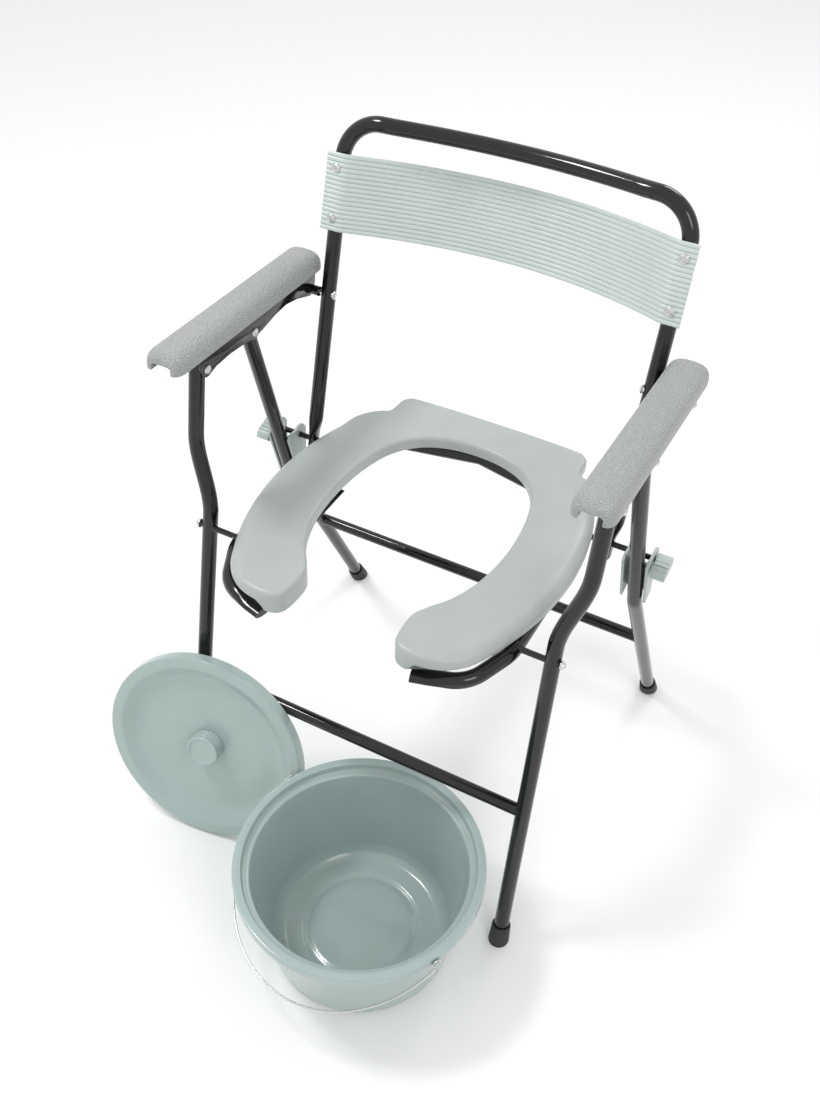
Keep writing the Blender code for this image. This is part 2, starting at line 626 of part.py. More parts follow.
combine(seat, mirrored(tip_mesh), "UNION")

# bucket rails: a bent strip under each side of the seat; the bucket's rim rests on the lips, below the frame
RAIL_TOP = SLAB_TOP - SEAT_T - GAP
rail = [(0.1420, RAIL_LOW), (0.1625, RAIL_LOW), (0.1625, RAIL_TOP), (0.1560, RAIL_TOP),
        (0.1560, RAIL_TOP - SHEET), (0.1625 - SHEET, RAIL_TOP - SHEET),
        (0.1625 - SHEET, RAIL_LOW + SHEET), (0.1420, RAIL_LOW + SHEET)]
rail_mesh = plate_mesh(rail, 0.170)
rail_mesh.transform(Matrix.Translation((0, 0.095, 0)) @ FRONT_VIEW)
both_sides("bucket_rail", rail_mesh, BLACK, seat_hinge)

# ---------------------------------------------------------------- leg locks
lock_hinge = empty("lock_hinge", (0.0, *SEAT_REAR), math.atan2(REAR_KINK[1] - LEG_TOP[0],
                                                               LEG_TOP[1] - REAR_KINK[2]))
leg_dir = Vector((0.0, REAR_KINK[1] - LEG_TOP[0], REAR_KINK[2] - LEG_TOP[1])).normalized()
from_top = Vector((0.0, SEAT_REAR[0] - LEG_TOP[0], SEAT_REAR[1] - LEG_TOP[1]))
leg_distance = from_top.cross(leg_dir).length          # rod axis to the leg's centre line
leg_back = -leg_distance + TUBE_R + LOCK_CLEAR         # local y of the web's face towards the leg
cheek = arc(0.0, 0.0, 0.0150, 40, 115, 5)
cheek += [(-0.0170, 0.0180), (-leg_distance - 0.0050, 0.0130), (-leg_distance - 0.0050, -0.0660),
          (-0.0060, -0.0660), (0.0010, -0.0400), (0.0110, -0.0120), (0.0150, 0.0000)]
cheek_in = side_plate(cheek, 0.2342, 0.2374)
cheek_out = side_plate(cheek, 0.2642, 0.2674)
web = box_mesh((0.2350, leg_back, -0.0640), (0.2660, leg_back + 0.0028, -0.0040))
locks = both_sides("lock_clip", cheek_in, LOCK_GREY, lock_hinge)
cut_both(locks, web, "UNION")
cut_both(locks, cheek_out, "UNION")
cut_both(locks, x_pin_mesh(0.22, 0.28, ROD_R + 0.0004))

lever = arc(0.0, 0.0, 0.0090, -60, 120, 7)
lever += [(-0.0150, 0.0090), (-0.0230, 0.0055), (-0.0265, 0.0000), (-0.0240, -0.0055), (-0.0130, -0.0075)]
lever_mesh = side_plate(lever, *LEVER_X)
levers = both_sides("lock_lever", lever_mesh, LOCK_GREY, lock_hinge)
for k in range(3):
    groove = box_mesh((0.2700, -0.0205 + 0.0062 * k, 0.0070), (0.3000, -0.0180 + 0.0062 * k, 0.0120))
    cut_both(levers, groove)

# ---------------------------------------------------------------- bucket
bucket_root = empty("bucket_root", (*BUCKET_AT, 0.0))
bucket_root.rotation_euler = (0.0, 0.0, EAR_AZ)
wall = [(0.0, 0.0040), (0.0980, 0.0040), (0.1030, 0.0), (0.1110, 0.0), (0.1160, 0.0080),
        (0.1385, 0.1440), (0.1500, 0.1455), (0.1512, 0.1455), (BUCKET_R, 0.1460), (BUCKET_R, 0.1590),
        (0.1525, BUCKET_H), (0.1440, BUCKET_H), (0.1430, 0.1590), (0.1425, 0.1500), (0.1350, 0.1490),
        (0.1333, 0.1470), (0.1310, 0.1350), (0.1120, 0.0260), (0.1060, 0.0160), (0.0980, 0.0110),
        (0.0760, 0.0085), (0.0730, 0.0065), (0.0700, 0.0065), (0.0640, 0.0085), (0.0, 0.0085)]
bucket = place("bucket", turned_mesh(list(reversed(wall)), 36), BUCKET_GREY, bucket_root)
EAR_Z = 0.1460
for side, label in ((1, "near"), (-1, "far")):
    ear = turned_mesh([(0.0, 0.0042), (0.0040, 0.0042), (0.0040, 0.0), (0.0, 0.0)], 12)
    ear.transform(Matrix.Translation((side * (BUCKET_R + GAP), 0, EAR_Z + 0.0050))
                  @ Matrix.Rotation(side * math.pi / 2, 4, "Y"))
    place("bail_stud_" + label, ear, BUCKET_GREY, bucket_root)
bail_hinge = empty("bail_hinge", (0.0, 0.0, EAR_Z + 0.0050))
bail_hinge.parent = bucket_root
reach = BUCKET_R + 0.0072
bail_path = []
for k in range(25):
    t = math.pi * k / 24
    swing = 0.176 * math.sin(t)
    swing = max(swing, 0.0054)
    bail_path.append(Vector((reach * math.cos(t), -swing * math.cos(BAIL_DROOP),
                             -swing * math.sin(BAIL_DROOP))))
bail = tube_mesh(bail_path, BAIL_R, 1)
bail = place("bail", bail, STEEL, bail_hinge)
for side in (1, -1):
    eye = turned_mesh([(0.0064, 0.0012), (0.0064, -0.0012), (0.0044, -0.0012), (0.0044, 0.0012)], 16)
    eye.transform(Matrix.Translation((side * (BUCKET_R + 0.0030), 0, 0))
                  @ Matrix.Rotation(math.pi / 2, 4, "Y"))
    link = x_pin_mesh(side * (BUCKET_R + 0.0020), side * (reach + 0.0006), 0.0011,
                      -0.0054 * math.cos(BAIL_DROOP), -0.0054 * math.sin(BAIL_DROOP), 8)
    combine(bail, eye, "UNION")
    combine(bail, link, "UNION")

# ---------------------------------------------------------------- lid
lid_root = empty("lid_root", LID_CENTRE)
lid_root.rotation_euler = (0.0, LID_TILT, LID_FACING)
dish = [(0.0, -0.0138), (0.0980, -0.0138), (0.1080, -0.0115), (0.1170, -0.0055), (0.1235, -0.0005),
        (0.1260, 0.0), (0.1385, 0.0), (LID_R, -0.0010), (LID_R, -0.0165), (0.1372, -0.0165),
        (0.1372, -0.0030), (0.1265, -0.0030), (0.1195, -0.0090), (0.1090, -0.0150), (0.0990, -0.0165),
        (0.0, -0.0165)]
place("lid", turned_mesh(dish, 36), BUCKET_GREY, lid_root)
grip = [(0.0, 0.0040), (0.0180, 0.0040), (0.0190, 0.0055), (0.0215, 0.0055), (0.0225, 0.0040)]
for k in range(3):
    z = 0.0010 - 0.0045 * k
    grip += [(0.0225, z), (0.0214, z - 0.0008), (0.0214, z - 0.0016), (0.0225, z - 0.0024)]
grip += [(0.0225, -0.0138 + GAP), (0.0, -0.0138 + GAP)]
place("lid_knob", turned_mesh(grip, 16), BUCKET_GREY, lid_root)

# ---------------------------------------------------------------- finish
for node in list(parts.objects):
    if node.type == "MESH":
        smooth(node)
origin = empty("commode_origin", ORIGIN_SHIFT)
for node in list(parts.objects) + list(cutters.objects):
    if node.parent is None and node is not origin:
        node.parent = origin
bpy.context.view_layer.update()
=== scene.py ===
"""Looks for the folding commode chair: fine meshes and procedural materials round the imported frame.

Units are metres, +Z is up and the chair faces -Y. Each fine piece is built in the same local frame
and from the same sizes as the CAD node it stands for.
"""

import json
import math

import bmesh
import bpy
from mathutils import Euler, Matrix, Vector


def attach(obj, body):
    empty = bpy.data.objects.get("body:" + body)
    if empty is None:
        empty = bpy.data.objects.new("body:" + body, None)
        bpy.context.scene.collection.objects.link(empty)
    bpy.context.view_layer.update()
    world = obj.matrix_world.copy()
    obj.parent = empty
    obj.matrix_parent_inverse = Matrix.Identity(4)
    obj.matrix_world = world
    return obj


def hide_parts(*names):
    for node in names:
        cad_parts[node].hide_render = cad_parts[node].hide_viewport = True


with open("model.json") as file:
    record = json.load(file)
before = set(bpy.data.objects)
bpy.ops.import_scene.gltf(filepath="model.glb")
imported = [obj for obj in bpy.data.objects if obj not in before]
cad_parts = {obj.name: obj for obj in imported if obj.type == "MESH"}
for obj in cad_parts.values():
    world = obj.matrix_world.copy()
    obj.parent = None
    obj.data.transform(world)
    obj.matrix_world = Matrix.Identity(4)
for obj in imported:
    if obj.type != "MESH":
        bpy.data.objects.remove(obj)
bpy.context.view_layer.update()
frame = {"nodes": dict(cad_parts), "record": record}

# ---------------------------------------------------------------- sizes shared with the CAD
ORIGIN_SHIFT = (0.0217, -0.0690, 0.0)
TUBE_R = 0.0095
BAR_R = 0.0080
ARM_FRONT = (0.0690, 0.6400)
ARM_REAR = (0.2890, 0.6290)
SEAT_FRONT = (0.0200, 0.4440)
LEG_TOP = (0.1645, 0.6355)
ARM_X = 0.2500
FRONT_LEG_Y0 = -0.0697
FRONT_LEG_RAKE = 0.2110
REAR_KINK = (0.2524, 0.2411, 0.3535)
REAR_FOOT = (0.2581, 0.4237, 0.0)
CROSSBAR_Z = 0.2190
ARM_SLOPE = math.atan2(ARM_FRONT[1] - ARM_REAR[1], ARM_REAR[0] - ARM_FRONT[0])
ARM_LENGTH = math.hypot(ARM_REAR[0] - ARM_FRONT[0], ARM_REAR[1] - ARM_FRONT[1])
MIDDLE_HOLE = 0.0956
BRACKET_OUT = 0.0118
PAD_LOW, PAD_HIGH, PAD_HALF = 0.0265, 0.0505, 0.0240
PAD_FRONT, PAD_REAR = -0.0660, 0.2350
PAD_NOSE = 0.0150                 # length over which the pad is drawn in at each end
BACK_LEAN = math.atan(0.2843)
BACK_TOP, BACK_BOTTOM, BACK_TUBE_Y = 0.2130, -0.2190, 0.0040
BAR_BOW = 0.0290
PANEL_LOW, PANEL_HIGH, PANEL_T, PANEL_SAG = 0.0806, 0.1731, 0.0030, 0.0650
SEAT_TILT = math.atan(0.020)
SEAT_Z_TOP = 0.0235               # seat plate, above the seat's front pivot
SEAT_Z_LOW = 0.0055
PRONG_Z_LOW = -0.0078
FRAME_DROP = -0.0055
FRAME_X = 0.1815
BUCKET_AT = (0.0734, -0.1430)
BUCKET_R, BUCKET_H = 0.1536, 0.1600
EAR_AZ = math.radians(-26.0)
EAR_Z = 0.1510
BAIL_R = 0.0012
BAIL_DROOP = math.radians(27.4)
LID_R = 0.1396
LID_CENTRE = (-0.1990, -0.0850, 0.1396)
LID_TILT, LID_FACING = math.radians(74.8), math.radians(277.6)

SHIFT = Matrix.Translation(ORIGIN_SHIFT)
ARM_AT = SHIFT @ Matrix.Translation((0, *ARM_FRONT)) @ Matrix.Rotation(-ARM_SLOPE, 4, "X")
BACK_AT = SHIFT @ Matrix.Translation((0, *ARM_REAR)) @ Matrix.Rotation(-BACK_LEAN, 4, "X")
SEAT_AT = SHIFT @ Matrix.Translation((0, *SEAT_FRONT)) @ Matrix.Rotation(-SEAT_TILT, 4, "X")
BUCKET_FRAME = SHIFT @ Matrix.Translation((*BUCKET_AT, 0)) @ Matrix.Rotation(EAR_AZ, 4, "Z")
LID_FRAME = (SHIFT @ Matrix.Translation(LID_CENTRE)
             @ Euler((0.0, LID_TILT, LID_FACING)).to_matrix().to_4x4())


# ---------------------------------------------------------------- materials
def finish_of(name, colour, rough, bump=None, vary=0.04, metallic=0.0, coat=0.0,
              specular=0.5):
    """A moulded, painted or metal finish. bump is (texture, cells per metre, height in metres)."""
    mat = bpy.data.materials.new(name)
    mat.use_nodes = True
    tree = mat.node_tree
    shader = tree.nodes["Principled BSDF"]
    shader.inputs["Metallic"].default_value = metallic
    shader.inputs["Coat Weight"].default_value = coat
    shader.inputs["Specular IOR Level"].default_value = specular
    shader.inputs["Coat Roughness"].default_value = 0.06
    coords = tree.nodes.new("ShaderNodeTexCoord")
    cloud = tree.nodes.new("ShaderNodeTexNoise")
    cloud.inputs["Scale"].default_value = 22.0
    cloud.inputs["Detail"].default_value = 6.0
    tree.links.new(coords.outputs["Object"], cloud.inputs["Vector"])
    shade = tree.nodes.new("ShaderNodeValToRGB")
    shade.color_ramp.elements[0].position = 0.30
    shade.color_ramp.elements[1].position = 0.70
    shade.color_ramp.elements[0].color = (*[c * (1 - vary) for c in colour], 1.0)
    shade.color_ramp.elements[1].color = (*[min(1.0, c * (1 + vary)) for c in colour], 1.0)
    tree.links.new(cloud.outputs["Fac"], shade.inputs["Fac"])
    tree.links.new(shade.outputs["Color"], shader.inputs["Base Color"])
    scuff = tree.nodes.new("ShaderNodeTexNoise")
    scuff.inputs["Scale"].default_value = 90.0
    scuff.inputs["Detail"].default_value = 8.0
    tree.links.new(coords.outputs["Object"], scuff.inputs["Vector"])
    spread = tree.nodes.new("ShaderNodeMapRange")
    spread.inputs["To Min"].default_value = rough * 0.80
    spread.inputs["To Max"].default_value = rough * 1.25
    tree.links.new(scuff.outputs["Fac"], spread.inputs["Value"])
    tree.links.new(spread.outputs["Result"], shader.inputs["Roughness"])
    if bump:
        kind, scale, height = bump
        grain = tree.nodes.new("ShaderNodeTexVoronoi" if kind == "pebble" else "ShaderNodeTexNoise")
        grain.inputs["Scale"].default_value = scale
        tree.links.new(coords.outputs["Object"], grain.inputs["Vector"])
        relief = tree.nodes.new("ShaderNodeBump")
        relief.invert = kind == "pebble"
        relief.inputs["Distance"].default_value = height
        relief.inputs["Strength"].default_value = 0.8
        source = grain.outputs["Distance" if kind == "pebble" else "Fac"]
        # For pebble grain the colour ramp follows the bump height: painted shade in the grooves between the
        # pebbles and lighter pebble tops.
        if kind == "pebble":
            shade.color_ramp.elements[0].position = 0.05
            shade.color_ramp.elements[1].position = 0.60
            tree.links.new(source, shade.inputs["Fac"])
        tree.links.new(source, relief.inputs["Height"])
        tree.links.new(relief.outputs["Normal"], shader.inputs["Normal"])
    return mat


LOOKS = {
    "black_paint": finish_of("black_paint_look", (0.006, 0.006, 0.0065), 0.12, ("noise", 260, 0.00004), 0.2,
                             coat=0.35, specular=0.36),
    "foot_rubber": finish_of("foot_rubber_look", (0.022, 0.022, 0.024), 0.60, ("noise", 900, 0.0002), 0.25),
    "bright_steel": finish_of("bright_steel_look", (0.66, 0.66, 0.65), 0.22, ("noise", 1400, 0.00003), 0.05,
                              metallic=1.0),
    "seat_plastic": finish_of("seat_plastic_look", (0.385, 0.418, 0.405), 0.34, ("noise", 1500, 0.00006),
                              0.03),
    # Negative vary on the pebble grain gives painted shade in the grooves and lighter pebble tops.
    "pad_plastic": finish_of("pad_plastic_look", (0.382, 0.400, 0.398), 0.34, ("pebble", 520, 0.0017), -0.20),
    "panel_plastic": finish_of("panel_plastic_look", (0.515, 0.572, 0.550), 0.30, ("noise", 1200, 0.00004),
                               0.03),
    "lock_plastic": finish_of("lock_plastic_look", (0.400, 0.460, 0.450), 0.35, ("noise", 1300, 0.00006),
                              0.05),
    "bucket_plastic": finish_of("bucket_plastic_look", (0.335, 0.425, 0.410), 0.20, ("noise", 420, 0.00006),
                                0.03, coat=0.25),
}


# ---------------------------------------------------------------- mesh helpers
def add(name, mesh, look, body, nodes=(), at=SHIFT, angle=40.0):
    """Place a fine mesh, give it its finish, tie it to a body and hide the CAD nodes it stands for."""
    mesh.transform(at)
    mesh.materials.clear()
    mesh.materials.append(LOOKS[look])
    mesh.shade_smooth()
    mesh.set_sharp_from_angle(angle=math.radians(angle))
    piece = bpy.data.objects.new(name, mesh)
    bpy.context.scene.collection.objects.link(piece)
    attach(piece, body)
    if nodes:
        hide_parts(*nodes)
    return piece


def mirrored(mesh):
    copy = mesh.copy()
    copy.transform(Matrix.Diagonal((-1.0, 1.0, 1.0, 1.0)))
    copy.flip_normals()
    return copy


def add_pair(stem, mesh, look, body, node_stem, at=SHIFT):
    other = mirrored(mesh)
    add(stem + "_right", mesh, look, body, [node_stem + "_right"], at)
    add(stem + "_left", other, look, body, [node_stem + "_left"], at)


def skin(rings, closed=False):
    """Join rings of equal count into a tube or sheet, with flat ends unless closed."""
    bm = bmesh.new()
    rows = [[bm.verts.new(p) for p in ring] for ring in rings]
    count = len(rows[0])
    pairs = list(zip(rows, rows[1:])) + ([(rows[-1], rows[0])] if closed else [])
    for lower, upper in pairs:
        for i in range(count):
            j = (i + 1) % count
            bm.faces.new((lower[i], lower[j], upper[j], upper[i]))
    if not closed:
        bm.faces.new(rows[0])
        bm.faces.new(list(reversed(rows[-1])))
    bmesh.ops.recalc_face_normals(bm, faces=bm.faces)
    mesh = bpy.data.meshes.new("skin")
    bm.to_mesh(mesh)
    bm.free()
    return mesh


def sweep(path, radius, hint, press=None, sides=32, wide=0.35, thin=0.60):
    """A round tube on a path; press[i] from 0 to 1 flattens it, wide along hint."""
    rings = []
    hint = Vector(hint)
    for i, centre in enumerate(path):
        along = (path[min(i + 1, len(path) - 1)] - path[max(i - 1, 0)]).normalized()
        across = (hint - along * hint.dot(along)).normalized()
        up = along.cross(across)
        amount = press[i] if press else 0.0
        a = radius * (1 + wide * amount)
        b = radius * (1 - thin * amount)
        rings.append([centre + across * a * math.cos(2 * math.pi * k / sides)
                      + up * b * math.sin(2 * math.pi * k / sides) for k in range(sides)])
    return skin(rings)


def fillet(corners, radii, segments=14):
    corners = [Vector(c) for c in corners]
    path = [corners[0]]
    for i in range(1, len(corners) - 1):
        before = (corners[i - 1] - corners[i]).normalized()
        after = (corners[i + 1] - corners[i]).normalized()
        half = before.angle(after) / 2
        reach = radii[i - 1] / math.tan(half)
        centre = corners[i] + (before + after).normalized() * (radii[i - 1] / math.sin(half))
        a = corners[i] + before * reach - centre
        b = corners[i] + after * reach - centre
        turn = a.angle(b)
        for k in range(segments + 1):
            t = k / segments
            path.append(centre + (a * math.sin((1 - t) * turn) + b * math.sin(t * turn)) / math.sin(turn))
    path.append(corners[-1])
    return path


def blunted(profile, size, segments=4):
    """Round every inner corner of a (r, z) profile by about size."""
    points = [Vector((*p, 0.0)) for p in profile]
    result = [points[0]]
    for before, corner, after in zip(points, points[1:], points[2:]):
        cut_in = min(size, (before - corner).length * 0.45)
        cut_out = min(size, (after - corner).length * 0.45)
        start = corner + (before - corner).normalized() * cut_in
        end = corner + (after - corner).normalized() * cut_out
        for k in range(segments + 1):
            t = k / segments
            result.append(start * (1 - t) ** 2 + corner * 2 * t * (1 - t) + end * t * t)
    result.append(points[-1])
    return [(p.x, p.y) for p in result]


def turned(profile, steps=128):
    """Turn an (r, z) profile that starts and ends on the axis round Z."""
    bm = bmesh.new()
    first = bm.verts.new((0, 0, profile[0][1]))
    last = bm.verts.new((0, 0, profile[-1][1]))
    rows = []
    for r, z in profile[1:-1]:
        rows.append([bm.verts.new((r * math.cos(2 * math.pi * k / steps),
                                   r * math.sin(2 * math.pi * k / steps), z)) for k in range(steps)])
    for k in range(steps):
        j = (k + 1) % steps
        bm.faces.new((first, rows[0][k], rows[0][j]))
        bm.faces.new((last, rows[-1][j], rows[-1][k]))
        for low, high in zip(rows, rows[1:]):
            bm.faces.new((low[k], high[k], high[j], low[j]))
    bmesh.ops.recalc_face_normals(bm, faces=bm.faces)
    mesh = bpy.data.meshes.new("turned")
    bm.to_mesh(mesh)
    bm.free()
    return mesh


def ring_on_x(radius, wire, x, sides=48, around=16):
    """A wire ring round the X axis at x."""
    rings = []
    for k in range(sides):
        a = 2 * math.pi * k / sides
        rings.append([Vector((x + wire * math.sin(2 * math.pi * j / around),
                              (radius + wire * math.cos(2 * math.pi * j / around)) * math.cos(a),
                              (radius + wire * math.cos(2 * math.pi * j / around)) * math.sin(a)))
                      for j in range(around)])
    return skin(rings, closed=True)


def joined(*meshes):
    bm = bmesh.new()
    for mesh in meshes:
        bm.from_mesh(mesh)
    mesh = bpy.data.meshes.new("joined")
    bm.to_mesh(mesh)
    bm.free()
    return mesh


def softened(node, look, body, width=0.0007):
    """The CAD solid itself with its sharp edges rounded."""
    holder = bpy.data.objects.new("holder", frame["nodes"][node].data.copy())
    bpy.context.scene.collection.objects.link(holder)
    weld = holder.modifiers.new("weld", "WELD")
    weld.merge_threshold = 0.00001
    bevel = holder.modifiers.new("round", "BEVEL")
    bevel.width = width
    bevel.segments = 3
    bevel.limit_method = "ANGLE"
    bevel.angle_limit = math.radians(40)
    bpy.context.view_layer.update()
    mesh = bpy.data.meshes.new_from_object(holder.evaluated_get(bpy.context.evaluated_depsgraph_get()))
    bpy.data.objects.remove(holder, do_unlink=True)
    add(node + "_look", mesh, look, body, [node], Matrix.Identity(4))


def smoothstep(t):
    t = max(0.0, min(1.0, t))
    return t * t * (3 - 2 * t)


# ---------------------------------------------------------------- legs
def front_leg_x(z):
    if z >= 0.560:
        return ARM_X
    if z <= 0.460:
        return 0.2267 + 0.0082 * (0.460 - z) / 0.460
    return 0.2267 + (ARM_X - 0.2267) * smoothstep((z - 0.460) / 0.100)


front_path = [Vector((front_leg_x(z), FRONT_LEG_Y0 + FRONT_LEG_RAKE * z, z))
              for z in [0.006 + 0.6455 * k / 90 for k in range(91)]]
add_pair("front_leg_look", sweep(front_path, TUBE_R, (0, 1, 0)), "black_paint", "front_frame", "front_leg")

rear_top = Vector((ARM_X, *LEG_TOP))
rear_kink = Vector(REAR_KINK)
rear_foot = Vector(REAR_FOOT)
up_leg = (rear_top - rear_kink).normalized()
down_leg = (rear_foot - rear_kink).normalized()
rear_path = fillet([rear_foot - down_leg * 0.0075, rear_kink, rear_top + up_leg * 0.011], [0.070])
add_pair("rear_leg_look", sweep(rear_path, TUBE_R, (0, 1, 0)), "black_paint", "rear_legs", "rear_leg")

bar_y = FRONT_LEG_Y0 + FRONT_LEG_RAKE * CROSSBAR_Z
bar = [Vector((x, bar_y, CROSSBAR_Z)) for x in (-0.2262, 0.2262)]
add("front_crossbar_look", sweep(bar, BAR_R, (0, 0, 1)), "black_paint", "front_frame", ["front_crossbar"])
on_leg = rear_kink + down_leg * ((rear_kink.z - CROSSBAR_Z) / -down_leg.z)
bar = [Vector((x, on_leg.y, CROSSBAR_Z)) for x in (-0.2490, 0.2490)]
add("rear_crossbar_look", sweep(bar, BAR_R, (0, 0, 1)), "black_paint", "rear_legs", ["rear_crossbar"])

for label, body in (("front_foot", "front_frame"), ("rear_foot", "rear_legs")):
    for side in ("left", "right"):
        softened(f"{label}_{side}", "foot_rubber", body, 0.0010)

# ---------------------------------------------------------------- arms
for side in ("left", "right"):
    softened("arm_bracket_" + side, "black_paint", "arms", 0.0004)


def pad_ring(y):
    """The pad's section at y: crowned top, rounded flanks, channel below, drawn in at both ends."""
    draw = 0.0
    for end_gap in (y - PAD_FRONT, PAD_REAR - y):
        if end_gap < PAD_NOSE:
            draw = PAD_NOSE - math.sqrt(max(0.0, PAD_NOSE ** 2 - (PAD_NOSE - end_gap) ** 2))
    half = PAD_HALF - draw * 0.55
    top = PAD_HIGH - draw * 0.75
    slot_half = min(0.0133, half - 0.0030)
    slot_top = min(0.0375, top - 0.0050)
    ring = [(-slot_half, PAD_LOW), (-slot_half, slot_top), (-slot_half * 0.75, slot_top + 0.002),
            (slot_half * 0.75, slot_top + 0.002), (slot_half, slot_top), (slot_half, PAD_LOW)]
    for k in range(29):
        a = -0.30 + (math.pi + 0.60) * k / 28
        cosine, sine = math.cos(a), math.sin(a)
        x = half * math.copysign(abs(cosine) ** 0.72, cosine)
        z = PAD_LOW + 0.004 + (top - PAD_LOW - 0.004) * math.copysign(abs(sine) ** 0.74, sine)
        ring.append((x, max(z, PAD_LOW)))
    return [Vector((ARM_X + x, y, z)) for x, z in ring]


stations = [PAD_FRONT + PAD_NOSE * (1 - math.cos(math.pi / 2 * k / 12)) for k in range(13)]
stations += [PAD_FRONT + PAD_NOSE + 0.271 * k / 40 for k in range(1, 41)]
stations += [PAD_REAR - PAD_NOSE * (1 - math.sin(math.pi / 2 * k / 12)) for k in range(1, 13)]
add_pair("arm_pad_look", skin([pad_ring(y) for y in stations]), "pad_plastic", "arms", "arm_pad", ARM_AT)

cap_nut = blunted([(0, 0), (0.0058, 0), (0.0056, 0.0024), (0.0044, 0.0026), (0.0040, 0.0042),
                   (0.0022, 0.0058), (0, 0.0062)], 0.0009)
nuts = [("arm_nut_front", 0.0, ARM_AT, "arms"), ("arm_nut_middle", MIDDLE_HOLE, ARM_AT, "arms"),
        ("arm_nut_rear", ARM_LENGTH, ARM_AT, "arms"), ("seat_nut", 0.0, SEAT_AT, "seat_unit")]
for stem, y, at, body in nuts:
    face = 0.2372 if stem == "seat_nut" else ARM_X + BRACKET_OUT
    mesh = turned(cap_nut, 40)
    mesh.transform(Matrix.Translation((face + 0.0003, y, 0)) @ Matrix.Rotation(math.pi / 2, 4, "Y"))
    add_pair(stem + "_look", mesh, "bright_steel", body, stem, at)


# ---------------------------------------------------------------- back
def upright_x(s):
    return 0.2112 + 0.0038 * (s + 0.202) / 0.362


half = fillet([(upright_x(BACK_BOTTOM), BACK_TUBE_Y, BACK_BOTTOM), (upright_x(0.16), BACK_TUBE_Y, BACK_TOP),
               (0.0, BACK_TUBE_Y, BACK_TOP)], [0.048], 18)
run = [Vector((upright_x(s), BACK_TUBE_Y, s)) for s in [-0.219 + 0.219 * k / 40 for k in range(41)]]
right_half = run + half[1:-1] + [Vector((0.160 - 0.008 * k, BACK_TUBE_Y, BACK_TOP)) for k in range(1, 21)]
for point in right_half:
    if point.x < 0.1600:
        point.y += BAR_BOW * (1 - (point.x / 0.1600) ** 2)
loop = right_half + [Vector((-p.x, p.y, p.z)) for p in reversed(right_half[:-1])]
press = [smoothstep((-0.168 - p.z) / 0.030) for p in loop]
add("back_tube_look", sweep(loop, TUBE_R, (0, 1, 0), press), "black_paint", "back", ["back_tube"], BACK_AT)

RIBS = 17
RIB_DEPTH = 0.0014


def panel_point(x, t, behind):
    y = BACK_TUBE_Y - TUBE_R - 0.0003 - PANEL_T
    if abs(x) < 0.2050:
        y += PANEL_SAG * (1 - (x / 0.2050) ** 2)
    groove = RIB_DEPTH * max(0.0, math.cos(2 * math.pi * RIBS * t)) ** 3
    return Vector((x, y + (0.0029 - groove if behind else groove), PANEL_LOW + (PANEL_HIGH - PANEL_LOW) * t))


ROWS = RIBS * 8
columns = [-0.2285 + 0.457 * k / 90 for k in range(91)]
rings = []
for x in columns:
    front = [panel_point(x, k / ROWS, False) for k in range(ROWS + 1)]
    rear = [panel_point(x, k / ROWS, True) for k in range(ROWS, -1, -1)]
    rings.append(front + rear)
add("back_panel_look", skin(rings), "panel_plastic", "back", ["back_panel"], BACK_AT, 60.0)

head = blunted([(0, 0), (0.0058, 0), (0.0058, 0.0007), (0.0040, 0.0010), (0.0034, 0.0022), (0, 0.0026)],
               0.0004)
for label, s in (("upper", 0.1557), ("lower", 0.0964)):
    holder = bpy.data.objects.new("holder", turned(head, 40))
    bpy.context.scene.collection.objects.link(holder)
    blades = []
    for turn in (0.4, 0.4 + math.pi / 2):
        bm = bmesh.new()
        bmesh.ops.create_cube(bm, size=1.0)
        bm.transform(Matrix.Rotation(turn, 4, "Z") @ Matrix.Translation((0, 0, 0.0026))
                     @ Matrix.Diagonal((0.0044, 0.0009, 0.0024, 1.0)))
        mesh = bpy.data.meshes.new("blade")
        bm.to_mesh(mesh)
        bm.free()
        blade = bpy.data.objects.new("blade", mesh)
        bpy.context.scene.collection.objects.link(blade)
        cut = holder.modifiers.new("cross", "BOOLEAN")
        cut.object = blade
        cut.solver = "EXACT"
        blades.append(blade)
    bpy.context.view_layer.update()
    mesh = bpy.data.meshes.new_from_object(holder.evaluated_get(bpy.context.evaluated_depsgraph_get()))
    for scrap in [holder] + blades:
        bpy.data.objects.remove(scrap, do_unlink=True)
    at_y = BACK_TUBE_Y - TUBE_R - 0.0006 - PANEL_T
    mesh.transform(Matrix.Translation((upright_x(s), at_y, s)) @ Matrix.Rotation(math.pi / 2, 4, "X"))
    add_pair(f"panel_screw_{label}_look", mesh, "bright_steel", "back", "panel_screw_" + label, BACK_AT)

# ---------------------------------------------------------------- seat and its frame
half = fillet([(0.0960, -0.0790, FRAME_DROP - 0.0085), (0.1560, -0.0640, FRAME_DROP - 0.0060),
               (FRAME_X, -0.0060, FRAME_DROP), (FRAME_X, 0.1600, FRAME_DROP),
               (0.1500, 0.2620, FRAME_DROP), (0.0, 0.2930, FRAME_DROP)], [0.045, 0.050, 0.160, 0.090], 12)
ends = [half[0].lerp(half[1], k / 8) for k in range(8)]
half = ends + half[1:]
loop = half + [Vector((-p.x, p.y, p.z)) for p in reversed(half[:-1])]
press = [smoothstep((0.142 - abs(p.x)) / 0.028) if p.y < -0.03 else 0.0 for p in loop]
rings_hint = (0, 0, 1)
add("seat_frame_look", sweep(loop, TUBE_R, rings_hint, press, wide=-0.42, thin=-0.30), "black_paint",
    "seat_unit", ["seat_frame"], SEAT_AT)

